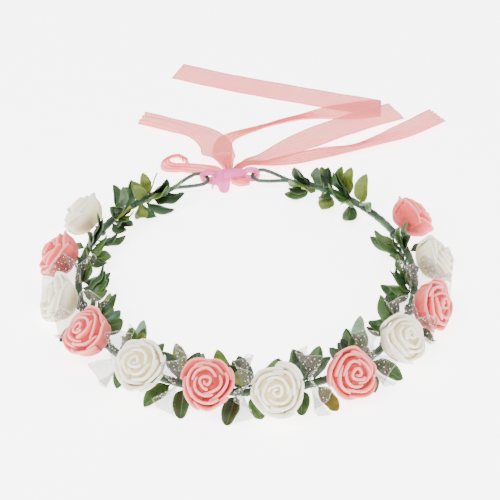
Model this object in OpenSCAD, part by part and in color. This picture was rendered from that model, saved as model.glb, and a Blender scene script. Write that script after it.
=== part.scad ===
// Flower crown: a taped wire ring with foam roses, leaf sprigs and dotted tulle,
// closed at the back by an organza ribbon tied through two wire eyes.
// Millimetres. Origin at the centre of the head opening, in the plane of the wire. +Z up, roses at -Y.

/* [Wire ring] */
// Radius of the head ring, to the middle of the wire
ring_r = 93; // [84:0.5:104]
// Diameter of the coated wire
wire_d = 2.2; // [1.6:0.1:2.6]
// Thickness of the floral tape wrap
tape_wall = 0.8; // [0.6:0.1:1.2]
// Direction of the tie at the back, from +X
tie_angle = 96; // [85:1:105]
// Half of the angle that the ring leaves open at the back
gap_half = 24; // [22:0.5:28]
// Length of each wire eye, from the ring's end to its tip
eye_len = 26; // [22:0.5:30]
// Half width of each wire eye, to the middle of the wire
eye_half = 5.8; // [5:0.1:6.6]

/* [Roses] */
// Number of foam roses
rose_count = 12; // [6:1:12]
// Angle from one rose to the next
rose_pitch = 20.8; // [19.5:0.1:22]
// Direction of the middle of the row of roses, from +X
rose_front = 269; // [262:1:276]
// Outside diameter of a rose
rose_d = 26; // [20:0.5:28]
// Height of a rose's petals above its base
rose_h = 17.5; // [14:0.5:20]
// Thickness of the layered outer petals
petal_wall = 3; // [2:0.1:4]
// Distance from the middle of the wire to a rose's base
rose_reach = 4.4; // [4.2:0.1:6]
// Diameter of a rose's stem wire
stem_d = 1.2; // [0.8:0.1:1.3]

/* [Leaves and tulle] */
// Length of a full leaf
leaf_len = 17; // [12:0.5:19]
// Width of a full leaf
leaf_w = 8.5; // [6:0.5:9]
// Thickness of a leaf
leaf_t = 0.5; // [0.3:0.1:0.8]
// Length of a tulle petal
tulle_len = 20; // [14:0.5:22]
// Width of a tulle petal
tulle_w = 11; // [8:0.5:12]
// Thickness of the gathered tulle
tulle_t = 0.6; // [0.4:0.1:1]

/* [Ribbon] */
// Width of the ribbon
ribbon_w = 20; // [15:0.5:22]
// Thickness of the ribbon with its small waves
ribbon_t = 0.6; // [0.4:0.1:0.7]
// Radius of the knot at its middle
knot_r = 4.3; // [3.5:0.1:4.3]
// Thickness of the gathered ribbon where it loops through an eye
loop_d = 2.2; // [1.6:0.1:2.4]

/* [Hidden] */
$fn = 48;
touch = 0.05;               // gap between pieces that rest on each other
free = 0.3;                 // gap between pieces that move past each other
table_z = -5.8;             // the surface that the crown lies on
fold_lap = 0.1;             // how deep the two lengths of a folded ribbon end meet
layer = ribbon_t + free;    // step between ribbon ends that lie over each other
wrap_free = 0.2;            // between the wire and the tape round it
wire_r = wire_d / 2;
tape_bore_r = wire_r + wrap_free;
tape_r = tape_bore_r + tape_wall;
ring_start = tie_angle + gap_half;          // the left end of the wire ring
ring_sweep = 360 - 2 * gap_half;
bare_end = 3;                               // degrees of bare wire between the tape and the ring's end
first_rose = rose_front - rose_pitch * (rose_count - 1) / 2;
tie_r = ring_r * cos(gap_half) + eye_len * sin(gap_half);      // from the ring's centre to the knot
tip_x = ring_r * sin(gap_half) - eye_len * cos(gap_half);      // from the tie's middle to an eye's tip
loop_r = wire_r + free + loop_d / 2 + 0.6;                     // radius of the ribbon's turn round a tip
knot_half = tip_x - loop_r - loop_d / 2 - free;                // half length of the knot
belly_z = rose_h * 0.55;                    // height of a rose's widest place
rose_floor = 3;                             // thickness of a rose's base
bud_rise = 1.5;                             // how far the bud stands above the outer petals
ring_end = ring_start + ring_sweep;
last_rose = first_rose + rose_pitch * (rose_count - 1);
left_eye = ring_start + 0.289 * (first_rose - ring_start);     // where the sprigs on the bare arms
left_arm = ring_start + 0.694 * (first_rose - ring_start);     // are bound, as shares of each arm
right_eye = ring_end - 0.206 * (ring_end - last_rose);
right_arm = ring_end - 0.514 * (ring_end - last_rose);
bloom_reach = (rose_reach + belly_z) * cos(42);                // how far out a rose's widest place is
rose_room = 2 * (ring_r + bloom_reach) * sin(rose_pitch / 2) - rose_d;
drawn_room = 11.34;        // room between two roses that the outward leaves' leans are given for
crowding = rose_room / drawn_room;
crowded_share = min(1, sqrt(crowding));

// How far each rose looks up from the horizontal, along the row from the left end
rose_tilt = [36, 33, 31, 48, 56, 58, 50, 42, 42, 31, 31, 42];

// Leaves between two roses: [place along the ring, side, lean, roll, share of the full length]
// side is the angle round the wire: 0 outward, 90 up, 180 inward
gap_leaves = [
    [[3, 150, 20, 0, 0.7], [-3, 172, -30, 0, 0.8], [2, 104, 14, 0, 0.8], [0, -8, 0, 0, 0.9]],
    [[3, 158, 26, 0, 1.05], [-3, 178, -16, 0, 0.9], [0, 112, -12, 0, 0.8], [0, -8, 2, 0, 1]],
    [[3, 150, 18, 0, 0.9], [-3, 172, -26, 0, 0.8], [0, 112, 8, 0, 0.8], [0, -8, -4, 0, 0.9]],
    [[-1.5, 150, -2, 0, 1.1], [4.5, 158, 26, 0, 0.8], [-5, 176, -34, 0, 0.8], [3, -12, 22, 0, 0.8]],
    [[-1, 142, -20, 0, 1], [5, 166, 20, 0, 0.8], [-4, -17, -22, 0, 1], [3.5, -16.5, 14, 0, 1]],
    [[-7, 150, -26, 0, 1.1], [5, 144, -36, 0, 0.95], [-1.5, 172, 8, 0, 0.7], [-3.5, -16.5, -14, 0, 1],
     [4, -20, 20, 0, 0.8]],
    [[-4, 146, 34, 0, 0.85], [3.5, 144, 30, 0, 1], [-7, 158, -24, 0, 0.8], [-4, -20, -20, 0, 0.8],
     [4, -16.5, 16, 0, 1]],
    [[-4, 150, 14, 0, 0.9], [2, 144, 24, 0, 1.15], [-1, 170, -10, 0, 0.8], [-3.5, -18, -16, 0, 0.9],
     [4, -15.5, 16, 0, 1.05]],
    [[-2, 148, 24, 0, 1], [4, 164, 34, 0, 0.9], [-4, 176, -30, 0, 0.8], [0, -8, 0, 0, 0.95]],
    [[-3, 170, -40, 0, 0.9], [3, 150, 44, 0, 1], [0, 112, 0, 0, 0.7], [0, -8, 0, 0, 0.9]],
    [[-3, 160, -42, 0, 1], [3, 178, 40, 0, 1.05], [0, 110, 10, 0, 0.8], [0, -8, 0, 0, 0.7]],
];
// Leaves on the bare arms at the back, in the same form
left_arm_leaves = [[4, 112, -16, 0, 1.1], [-1, 76, -12, 0, 0.9], [8, 176, 20, 0, 0.7]];
left_eye_leaves = [
    [0, 92, 0, 0, 0.8], [-4, 140, -50, 0, 1.15], [-3, 178, -48, 0, 1.1], [2, 196, -34, 0, 1],
    [5, 178, 6, 0, 0.85], [6, 60, 30, 0, 0.6],
];
right_arm_leaves = [
    [5, 92, 0, 0, 1], [-6, 90, -4, 0, 1.15], [-2, 150, 34, 0, 0.8], [-9, 110, -40, 0, 0.8],
    [0, 184, -34, 0, 1],
];
right_eye_leaves = [
    [-6, 90, 0, 0, 0.85], [5, 186, 40, 0, 0.95], [2, 162, 8, 0, 0.8], [-3, 190, -42, 0, 1.1],
    [-7, 166, -10, 0, 0.7],
];

// Ribbon ends in the tie's frame: [along the tie, away from the crown, share of the width]
short_end = [[-1, 6, 0.3], [-5, 22, 0.95], [-7, 40, 1], [-22, 56, 0.75], [-50, 72, 0.65]];
long_tail_out = [
    [0, 6, 0.25], [-1, 26, 0.7], [2, 46, 0.5], [24, 57, 0.2], [52, 66, 0.3], [80, 70, 0.9], [104, 72, 1],
];
long_tail_back = [[106, 70, 1], [62, 89, 1], [12, 112, 1], [-23, 131, 1]];
wide_tail = [[4, 7, 0.25], [20, 17, 0.6], [54, 38, 1], [85, 53, 1], [115, 64, 1]];
right_tail = [
    [6, 8, 0.15], [20, 11, 0.3], [42, 15, 0.6], [62, 19, 0.5], [84, 24, 0.3], [112, 37, 0.75], [140, 53, 0.8],
];
ear = [[-8, 8, 0.2], [-15, 12, 0.4], [-27, 19, 0.65], [-36, 26, 0.45]];

ROSES = [for (i = [1:rose_count]) i];
GAPS = [for (i = [1:rose_count - 1]) i];
TULLE = [for (i = [2:rose_count - 2]) i];
function two(n) = str(n < 10 ? "0" : "", n);
function rose_angle(i) = first_rose + (i - 1) * rose_pitch;
function gap_angle(i) = rose_angle(i) + rose_pitch / 2;
function degrees_along(length) = length / ring_r * 180 / PI;

green = "#2f5d35";
leaf_green = "#4c7a3a";
rose_pink = "#f59a98";
rose_white = "#f5f2ea";
tulle_grey = "#b9b4ad";
ribbon_pink = "#f6c4bd";

// ---- the wire ring ----

// Places its children at an angle round the ring: +X outward, +Y along the wire, +Z up
module at_ring(angle) {
    rotate([0, 0, angle]) translate([ring_r, 0, 0]) children();
}

// Places its children at one end of the ring, with +X along the eye towards its tip
module at_eye(side) {
    at_ring(tie_angle + side * gap_half) rotate([0, 0, -side * 90]) children();
}

// A straight round rod between two points
module rod(a, b, r) {
    v = b - a;
    translate(a) rotate([0, acos(v[2] / norm(v)), atan2(v[1], v[0])]) cylinder(r = r, h = norm(v));
}

// One eye: two strands that part from the ring's end and meet round the tip
module eye() {
    bend_x = eye_len - eye_half;
    bead_r = wire_r + 0.04;
    sphere(bead_r);
    for (s = [-1, 1]) {
        rod([0, 0, 0], [bend_x, s * eye_half, 0], wire_r);
        translate([bend_x, s * eye_half, 0]) sphere(bead_r);
    }
    translate([bend_x, 0, 0]) rotate([0, 0, -90]) rotate_extrude(angle = 180)
        translate([eye_half, 0]) circle(wire_r);
}

module base_wire() {
    color(green) {
        rotate([0, 0, ring_start]) rotate_extrude(angle = ring_sweep) translate([ring_r, 0]) circle(wire_r);
        for (side = [-1, 1]) at_eye(side) eye();
    }
}

module floral_tape() {
    color(green) rotate([0, 0, ring_start + bare_end])
        rotate_extrude(angle = ring_sweep - 2 * bare_end) translate([ring_r, 0]) difference() {
            circle(tape_r);
            circle(tape_bore_r);
        }
}

// A ring of round wire or tape about the base wire, with a clear bore of its own
module turn(bore_r, section_r) {
    rotate([90, 0, 0]) rotate_extrude() translate([bore_r + section_r, 0]) circle(section_r);
}

// The turns of tape that bind each wire's folded end to the ring
module eye_bindings() {
    turn_r = 0.6;
    first_turn = degrees_along(1.14);
    turn_step = degrees_along(1.27);
    color(green) for (side = [-1, 1], k = [0:2])
        at_ring(tie_angle + side * (gap_half + first_turn + turn_step * k)) turn(wire_r + touch, turn_r);
}

// ---- the roses ----

// Places its children on a rose's axis, +Z outward, at a distance from the middle of the wire
module at_rose(i, reach = rose_reach) {
    at_ring(rose_angle(i)) rotate([0, 90 - rose_tilt[i - 1], 0]) translate([0, 0, reach]) children();
}

function rose_color(i) = i % 2 == 0 ? rose_pink : rose_white;

// The outer petals: a bowl below the belly and a slightly closing wall above it
module petals(i) {
    r = rose_d / 2;
    inner = r - petal_wall;
    base_r = sqrt(max(r * r - belly_z * belly_z, 9));
    color(rose_color(i)) at_rose(i) rotate_extrude() polygon(concat(
        [[0, 0]],
        [for (a = [acos(base_r / r) : -7.5 : 1]) [r * cos(a), belly_z - r * sin(a)]],
        [[r, belly_z], [r - 0.8, rose_h], [inner, rose_h]],
        [for (a = [0 : 7.5 : 90]) let (z = belly_z - inner * sin(a)) if (z > rose_floor) [inner * cos(a), z]],
        [[sqrt(inner * inner - pow(belly_z - rose_floor, 2)), rose_floor], [0, rose_floor]]
    ));
}

// The rolled bud that stands in the bowl and rises a little above it
module bud(i) {
    r = rose_d / 2 - petal_wall - 1.4;
    top = rose_h + bud_rise - belly_z;
    foot_z = rose_floor + touch;
    color(rose_color(i)) at_rose(i) rotate_extrude() polygon(concat(
        [[0, foot_z], [r * 0.45, foot_z]],
        [for (a = [-20 : 10 : 90]) [r * cos(a), belly_z + top * sin(a)]]
    ));
}

// Each rose's wire: a turn round the taped ring and a short stalk up to the rose
module rose_stems() {
    turn_r = stem_d / 2;
    color(green) for (i = ROSES) {
        at_ring(rose_angle(i)) turn(tape_r + touch, turn_r);
        at_rose(i, tape_r + touch + turn_r)
            cylinder(r = turn_r, h = rose_reach - tape_r - turn_r - 2 * touch);
    }
}

// ---- leaves and tulle ----

// A flat blade with two pointed ends, lying along +X
module blade(len, w, t) {
    r = (len * len + w * w) / (4 * w);
    translate([0, 0, -t / 2]) linear_extrude(t) intersection() {
        translate([len / 2, r - w / 2]) circle(r);
        translate([len / 2, w / 2 - r]) circle(r);
    }
}

// Places its children on the tape: at an angle round the ring, some way along it and at one side of
// the wire, leaning along the wire and rolled about themselves
module from_tape(angle, along, side, lean, roll) {
    at_ring(angle + degrees_along(along)) rotate([0, -side, 0]) translate([tape_r + touch, 0, 0])
        rotate([0, 0, lean]) rotate([roll, 0, 0]) children();
}

// Leaves with their short stalks. The outward ones lean less and are shorter where roses crowd them
module leaves(angle, rows) {
    stalk_r = 0.4;
    stalk = 1.2;
    color(leaf_green) for (l = rows)
        let (lean = l[1] < 0 ? l[2] * crowding : l[2], share = l[1] < 0 ? l[4] * crowded_share : l[4])
        from_tape(angle, l[0], l[1], lean, l[3]) {
        translate([stalk, 0, 0]) blade(leaf_len * share, leaf_w * (0.45 + 0.55 * share), leaf_t);
        translate([stalk_r, 0, 0]) rotate([0, 90, 0]) cylinder(r = stalk_r, h = stalk + 1);
    }
}

// A bare twig on top of the ring that leans along it
module twig(angle, along, lean, len) {
    twig_r = 0.45;
    color(green) from_tape(angle, along, 90, lean, 0) translate([twig_r, 0, 0])
        rotate([0, 90, 0]) cylinder(r = twig_r, h = len);
}

module gap_sprig(i) { leaves(gap_angle(i), gap_leaves[i - 1]); }

module leaf_sprig_left_arm() { leaves(left_arm, left_arm_leaves); }
module leaf_sprig_left_eye() {
    leaves(left_eye, left_eye_leaves);
    twig(left_eye, -2.5, -32, 14);
}
module leaf_sprig_right_arm() { leaves(right_arm, right_arm_leaves); }
module leaf_sprig_right_eye() {
    leaves(right_eye, right_eye_leaves);
    twig(right_eye, 2, -36, 13);
}

// Two petals of dotted tulle that stand between two roses
module ruffle(i) {
    upper = 76;
    lower = 27;
    color(tulle_grey) for (side = [upper, lower])
        from_tape(gap_angle(i), 0, side, 0, 90) blade(tulle_len, tulle_w, tulle_t);
}

// ---- the ribbon ----

// Places its children at the knot: +X along the tie, +Y away from the crown
module at_tie() {
    rotate([0, 0, tie_angle - 90]) translate([0, tie_r, 0]) children();
}

// A point of the smooth curve through a route, at a share t from its point i to the next
function on_route(p, i, t) = let (n = len(p) - 1, a = p[max(i - 1, 0)], b = p[i], c = p[min(i + 1, n)],
    d = p[min(i + 2, n)]) 0.5 * (2 * b + (c - a) * t + (2 * a - 5 * b + 4 * c - d) * t * t
    + (3 * b - a - 3 * c + d) * t * t * t);
function smooth(p) = concat([for (i = [0:len(p) - 2], t = [0, 0.25, 0.5, 0.75]) on_route(p, i, t)],
    [p[len(p) - 1]]);

// The outline of a ribbon that follows a route with a changing width
function ribbon_outline(route) = let (p = smooth(route), n = len(p) - 1,
    side = [for (i = [0:n]) let (v = p[min(i + 1, n)] - p[max(i - 1, 0)], w = [v[0], v[1]])
        [-w[1], w[0]] / norm(w) * ribbon_w * p[i][2] / 2])
    concat([for (i = [0:n]) [p[i][0], p[i][1]] + side[i]], [for (i = [n:-1:0]) [p[i][0], p[i][1]] - side[i]]);

// A length of ribbon that lies flat on a layer above the table
module lying(route, level, t = ribbon_t) {
    translate([0, 0, table_z + 0.2 + level * layer]) linear_extrude(t) polygon(ribbon_outline(route));
}

// The ribbon's turn through one eye and round its tip
module ribbon_loop(side) {
    color(ribbon_pink) at_tie() translate([side * tip_x, 0, 0]) rotate([90, 0, 0]) rotate_extrude()
        translate([loop_r, 0]) circle(loop_d / 2);
}

// The knot with the short flap that hangs out in front of it
module ribbon_knot() {
    color(ribbon_pink) at_tie() {
        rotate([0, 90, 0]) rotate_extrude() polygon(concat(
            [[0, -knot_half]],
            [for (a = [-75 : 15 : 75]) [knot_r * cos(a), knot_half * sin(a)]],
            [[0, knot_half]]
        ));
        translate([0, 0, -2]) linear_extrude(2 * ribbon_t)
            polygon([for (p = [[-0.31, 0], [-0.73, -1], [-0.89, -11], [-0.42, -13], [-0.1, -10], [0.1, 0]])
                [p[0] * knot_half, p[1]]]);
    }
}

module ribbon_ear() { color(ribbon_pink) at_tie() lying(ear, 0, 2.6); }
module ribbon_long_tail() {
    color(ribbon_pink) at_tie() {
        lying(long_tail_out, 0);
        lying(long_tail_back, (ribbon_t - fold_lap) / layer);
    }
}
module ribbon_wide_tail() { color(ribbon_pink) at_tie() lying(wide_tail, 1.5); }
module ribbon_right_tail() { color(ribbon_pink) at_tie() lying(right_tail, 2.5); }
module ribbon_short_end() { color(ribbon_pink) at_tie() lying(short_end, 3.5); }

base_wire();
floral_tape();
eye_bindings();
rose_stems();
for (i = ROSES) petals(i);
for (i = ROSES) bud(i);
for (i = GAPS) gap_sprig(i);
leaf_sprig_left_arm();
leaf_sprig_left_eye();
leaf_sprig_right_arm();
leaf_sprig_right_eye();
for (i = TULLE) ruffle(i);
ribbon_loop(-1);  // ribbon_left_loop
ribbon_loop(1);  // ribbon_right_loop
ribbon_knot();
ribbon_ear();
ribbon_short_end();
ribbon_long_tail();
ribbon_wide_tail();
ribbon_right_tail();
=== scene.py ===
import math

import bpy
import numpy as np
from mathutils import Matrix, Vector


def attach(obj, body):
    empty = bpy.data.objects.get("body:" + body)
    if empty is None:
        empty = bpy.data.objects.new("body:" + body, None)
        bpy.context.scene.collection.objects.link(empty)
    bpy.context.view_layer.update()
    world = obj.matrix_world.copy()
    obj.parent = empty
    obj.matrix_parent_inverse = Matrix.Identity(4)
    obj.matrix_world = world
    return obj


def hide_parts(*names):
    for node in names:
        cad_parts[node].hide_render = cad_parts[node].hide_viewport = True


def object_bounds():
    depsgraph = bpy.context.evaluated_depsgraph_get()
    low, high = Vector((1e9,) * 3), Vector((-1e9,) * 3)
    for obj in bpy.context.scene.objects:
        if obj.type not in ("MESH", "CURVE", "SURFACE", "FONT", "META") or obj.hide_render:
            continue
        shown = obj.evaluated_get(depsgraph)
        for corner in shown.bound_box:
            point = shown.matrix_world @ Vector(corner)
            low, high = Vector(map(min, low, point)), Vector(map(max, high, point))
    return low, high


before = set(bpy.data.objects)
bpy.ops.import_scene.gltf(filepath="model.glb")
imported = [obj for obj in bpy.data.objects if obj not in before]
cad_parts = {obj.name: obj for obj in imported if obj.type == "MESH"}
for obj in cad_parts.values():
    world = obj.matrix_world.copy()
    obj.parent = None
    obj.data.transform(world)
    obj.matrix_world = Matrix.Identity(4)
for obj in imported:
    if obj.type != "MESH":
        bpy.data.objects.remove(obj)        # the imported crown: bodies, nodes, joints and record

CAD_BOX = [list(corner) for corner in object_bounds()]

# ---- sizes

MM = 0.001
RING_RADIUS = 93 * MM  # to the middle of the wire
WIRE_DIAMETER = 2.2 * MM
TAPE_DIAMETER = 4.2 * MM
TIE_ANGLE = 96  # direction of the tie at the back
GAP_HALF = 24  # half of the angle that the ring leaves open
EYE_LENGTH = 26 * MM
EYE_HALF = 5.8 * MM
ROSE_COUNT = 12
ROSE_PITCH = 20.8  # degrees from one rose to the next
ROSE_FRONT = 269  # direction of the middle of the row
ROSE_REACH = 4.4 * MM  # from the wire to a rose's base
ROSE_TILT = [36, 33, 31, 48, 56, 58, 50, 42, 42, 31, 31, 42]
LEAF_LENGTH = 17 * MM
LEAF_WIDTH = 9.2 * MM
LEAF_STALK = 1.2 * MM
STALK_SHARE = 0.07  # of a leaf's length that is its stalk
RIBBON_WIDTH = 20 * MM
TABLE = CAD_BOX[0][2]  # the height of the surface that the crown lies on
TABLE_CLEARANCE = 0.35 * MM

RING_START = TIE_ANGLE + GAP_HALF
RING_SWEEP = 360 - 2 * GAP_HALF
TIE_RADIUS = (RING_RADIUS * math.cos(math.radians(GAP_HALF))
              + EYE_LENGTH * math.sin(math.radians(GAP_HALF)))
TIP_X = (RING_RADIUS * math.sin(math.radians(GAP_HALF))
         - EYE_LENGTH * math.cos(math.radians(GAP_HALF)))
FIRST_ROSE = ROSE_FRONT - ROSE_PITCH * (ROSE_COUNT - 1) / 2


def smoothstep(low, high, x):
    t = np.clip((x - low) / (high - low), 0, 1)
    return t * t * (3 - 2 * t)


# ---- places

def linked(name, data):
    made = bpy.data.objects.new(name, data)
    bpy.context.scene.collection.objects.link(made)
    return made


def turn(degrees, axis):
    return Matrix.Rotation(math.radians(degrees), 4, axis)


def shift(x=0, y=0, z=0):
    return Matrix.Translation((x, y, z))


def at_ring(angle):
    """+X outward, +Y along the wire, +Z up, at an angle round the ring."""
    return turn(angle, "Z") @ shift(x=RING_RADIUS)


def at_eye(side):
    """+X along an eye towards its tip, from the ring's end on that side."""
    return at_ring(TIE_ANGLE + side * GAP_HALF) @ turn(-side * 90, "Z")


def at_tie():
    """+X along the tie, +Y away from the crown, at the knot."""
    return turn(TIE_ANGLE - 90, "Z") @ shift(y=TIE_RADIUS)


def at_rose(index):
    """+Z along a rose's axis, from its base."""
    return (at_ring(FIRST_ROSE + index * ROSE_PITCH) @ turn(90 - ROSE_TILT[index], "Y")
            @ shift(z=ROSE_REACH))


def gap_angle(index):
    return FIRST_ROSE + (index + 0.5) * ROSE_PITCH


def from_tape(angle, along, side, lean, roll=0, out=TAPE_DIAMETER / 2):
    """+X away from the tape at one side of the wire, leaning along it."""
    place = at_ring(angle + math.degrees(along * MM / RING_RADIUS))
    return place @ turn(-side, "Y") @ shift(x=out) @ turn(lean, "Z") @ turn(roll, "X")


# ---- camera and light

CAMERA_HEIGHT_ANGLE = 39.6
CAMERA_DISTANCE = 0.8
CAMERA_LENS = 103.6
CAMERA_AIM = Vector((0.002, 0.0221, 0))
FLOOR_GLOW = 4.5
FLOOR_REACH = 3.0
WORLD_LIGHT = 0.6
# Soft lights: name, place, size, power
LIGHTS = [("key", (-0.7, -0.6, 1.3), 0.9, 40), ("fill", (0.9, -0.5, 0.9), 1.1, 14),
          ("back", (0.2, 1.1, 1.0), 1.0, 12)]


def make_camera():
    data = bpy.data.cameras.new("camera")
    data.lens = CAMERA_LENS
    camera = linked("camera", data)
    height = math.radians(CAMERA_HEIGHT_ANGLE)
    camera.location = (0, -CAMERA_DISTANCE * math.cos(height), CAMERA_DISTANCE * math.sin(height))
    camera.rotation_euler = (CAMERA_AIM - camera.location).to_track_quat("-Z", "Y").to_euler()
    bpy.context.scene.camera = camera


def make_light(name, place, size, power):
    data = bpy.data.lights.new(name, "AREA")
    data.size = size
    data.energy = power
    light = linked(name, data)
    light.location = place
    light.rotation_euler = (-Vector(place)).to_track_quat("-Z", "Y").to_euler()


def make_world():
    world = bpy.data.worlds.new("studio")
    bpy.context.scene.world = world
    world.use_nodes = True
    sky = world.node_tree.nodes["Background"]
    sky.inputs["Color"].default_value = (1, 1, 1, 1)
    sky.inputs["Strength"].default_value = WORLD_LIGHT


# ---- node trees

class Signal:
    """An output socket. Arithmetic on it adds Math nodes to its tree."""

    def __init__(self, nodes, socket):
        self.nodes = nodes
        self.socket = socket

    def other(self, output):
        """Another output of the same node."""
        return Signal(self.nodes, self.socket.node.outputs[output])

    def math(self, operation, *values):
        return self.nodes.node("ShaderNodeMath", {"operation": operation}, dict(enumerate(values)))

    def __add__(self, other):
        return self.math("ADD", self, other)

    def __radd__(self, other):
        return self.math("ADD", other, self)

    def __sub__(self, other):
        return self.math("SUBTRACT", self, other)

    def __rsub__(self, other):
        return self.math("SUBTRACT", other, self)

    def __mul__(self, other):
        return self.math("MULTIPLY", self, other)

    def __truediv__(self, other):
        return self.math("DIVIDE", self, other)

    def __pow__(self, other):
        return self.math("POWER", self, other)

    def __abs__(self):
        return self.math("ABSOLUTE", self)

    def sine(self):
        return self.math("SINE", self)

    def fraction(self):
        return self.math("FRACT", self)

    def between(self, low, high):
        """0 below low, 1 above high and smooth between them."""
        return self.nodes.node("ShaderNodeMapRange", {"interpolation_type": "SMOOTHSTEP"},
                               {"Value": self, "From Min": low, "From Max": high})


class Nodes:
    """A shader or geometry tree, built one node at a time."""

    def __init__(self, tree):
        self.tree = tree
        tree.nodes.clear()

    def node(self, kind, settings=None, sockets=None, output=0):
        made = self.tree.nodes.new(kind)
        for name, value in (settings or {}).items():
            if name == "stops":
                self.set_stops(made.color_ramp, value)
            else:
                setattr(made, name, value)
        for name, value in (sockets or {}).items():
            if isinstance(value, Signal):
                self.tree.links.new(value.socket, made.inputs[name])
            else:
                is_colour = isinstance(value, str) and value[0] == "#"
                made.inputs[name].default_value = linear(value) if is_colour else value
        if not made.outputs:
            return made
        return Signal(self, made.outputs[output])

    @staticmethod
    def set_stops(ramp, stops):
        ramp.elements.remove(ramp.elements[1])
        ramp.elements[0].position = stops[0][0]
        ramp.elements[0].color = linear(stops[0][1])
        for place, colour in stops[1:]:
            ramp.elements.new(place).color = linear(colour)


class Finish(Nodes):
    """A material's tree."""

    def __init__(self, name):
        self.material = bpy.data.materials.new(name)
        self.material.use_nodes = True
        super().__init__(self.material.node_tree)

    def own_map(self, name):
        return self.node("ShaderNodeUVMap", {"uv_map": name})

    def places(self, name):
        """The two coordinates of a piece's own UV map."""
        first = self.node("ShaderNodeSeparateXYZ", None, {0: self.own_map(name)})
        return first, first.other(1)

    def noise(self, scale, detail=3, roughness=0.5):
        return self.node("ShaderNodeTexNoise", None, {
            "Vector": self.node("ShaderNodeTexCoord", output="Object"),
            "Scale": scale, "Detail": detail, "Roughness": roughness})

    def stretched_noise(self, name, scale, detail):
        """Noise on a UV map, with its own scale each way."""
        vector = self.node("ShaderNodeMapping", None, {"Vector": self.own_map(name), "Scale": (*scale, 1)})
        return self.node("ShaderNodeTexNoise", None, {"Vector": vector, "Scale": 1.0, "Detail": detail})

    def mix(self, factor, a, b):
        """A colour mix. The colour sockets of the Mix node are numbers 6 and 7, its colour output 2."""
        return self.node("ShaderNodeMix", {"data_type": "RGBA"}, {0: factor, 6: a, 7: b}, output=2)

    def ramp(self, factor, stops):
        return self.node("ShaderNodeValToRGB", {"stops": stops}, {"Fac": factor})

    def bump(self, height, strength, distance):
        return self.node("ShaderNodeBump", None,
                         {"Height": height, "Strength": strength, "Distance": distance})

    def surface(self, **sockets):
        """Ends the tree in a Principled shader. Socket names are given with _ for a space."""
        named = {name.replace("_", " "): value for name, value in sockets.items()}
        shader = self.node("ShaderNodeBsdfPrincipled", None, named)
        self.node("ShaderNodeOutputMaterial", None, {"Surface": shader})
        return self.material


def linear(code):
    """A colour written as # and six hex digits, as linear light with full cover."""
    parts = [int(code[k:k + 2], 16) / 255 for k in (1, 3, 5)]
    return (*(p / 12.92 if p <= 0.04045 else ((p + 0.055) / 1.055) ** 2.4 for p in parts), 1)


# ---- finishes

def coated_wire():
    f = Finish("coated wire")
    cloudy = f.noise(600)
    colour = f.mix(cloudy, "#26382c", "#3c5142")
    return f.surface(
        Base_Color=colour, Roughness=0.3 + cloudy * 0.25, IOR=1.5,
        Normal=f.bump(f.noise(1500), 0.15, 0.0002))


def floral_tape():
    f = Finish("floral tape")
    crepe = f.stretched_noise("wrap", (700, 14), 4)
    colour = f.ramp(f.noise(120), [(0.3, "#1b3321"), (0.55, "#28482c"), (0.8, "#3d6238")])
    return f.surface(
        Base_Color=colour, Roughness=0.45 + crepe * 0.3, Sheen_Weight=0.15,
        Normal=f.bump(crepe, 0.5, 0.0003))


def foam(name, deep, middle, rim):
    """Thin closed-cell foam, with painted shade down in the folds and a painted highlight along each
    rolled rim.
    """
    f = Finish(name)
    up = f.places("petal")[1]
    height = up + (f.noise(110, detail=2) - 0.5) * 0.16
    # deep is painted shade at the foot of each petal, down in the folds; rim is a painted highlight along
    # the rolled rims
    body = f.ramp(height, [(0.0, deep), (0.35, deep), (0.72, middle), (0.88, middle), (0.98, rim)])
    colour = f.mix(f.noise(420).between(0.35, 0.7) * 0.16, body, rim)
    pores = f.noise(3200, detail=2)
    grain = f.noise(900, detail=4, roughness=0.6)
    return f.surface(
        Base_Color=colour, Roughness=0.62 + grain * 0.2, IOR=1.4,
        Specular_IOR_Level=0.3, Sheen_Weight=0.25, Sheen_Roughness=0.5,
        Subsurface_Weight=0.25, Subsurface_Radius=(0.9, 0.55, 0.45),
        Subsurface_Scale=0.0016,
        Normal=f.bump(grain * 0.7 + pores * 0.3, 0.35, 0.00025))


def leaf_green():
    """Moulded leaves: a tone for each leaf, a pale midrib and side veins."""
    f = Finish("moulded leaf")
    along, across = f.places("leaf")
    tone = f.node("ShaderNodeAttribute", {"attribute_name": "tone"}, output="Fac")
    base = f.ramp(tone, [
        (0.0, "#0f2413"), (0.2, "#1c3a1a"), (0.4, "#2f5220"), (0.55, "#4b6a24"),
        (0.7, "#6f7a22"), (0.85, "#3f6650"), (1.0, "#8aa68c")])
    from_rib = abs(across - 0.5)
    from_vein = abs((along * 9 + from_rib * 7).fraction() - 0.5)
    side_vein = 1 - from_vein.between(0.03, 0.16)
    rib = 1 - from_rib.between(0.012, 0.045)
    vein = rib.math("MAXIMUM", rib, side_vein * 0.35)
    mottled = f.mix(f.noise(260).between(0.3, 0.75) * 0.45, base, "#16301a")
    edged = f.mix(from_rib.between(0.3, 0.5) * 0.25, mottled, "#7a9450")
    colour = f.mix(vein * 0.22, edged, "#8fa86c")
    height = vein * -0.6 + f.noise(700) * 0.4
    return f.surface(
        Base_Color=colour, Roughness=0.36 + f.noise(500) * 0.25,
        Specular_IOR_Level=0.45, Subsurface_Weight=0.06,
        Subsurface_Radius=(0.4, 0.9, 0.2), Subsurface_Scale=0.001,
        Normal=f.bump(height, 0.5, 0.0003))


def stem_brown():
    f = Finish("stem plastic")
    streaks = f.noise(800)
    return f.surface(
        Base_Color=f.mix(streaks, "#4a5a35", "#6d6a45"), Roughness=0.55,
        Normal=f.bump(streaks, 0.3, 0.0002))


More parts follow.
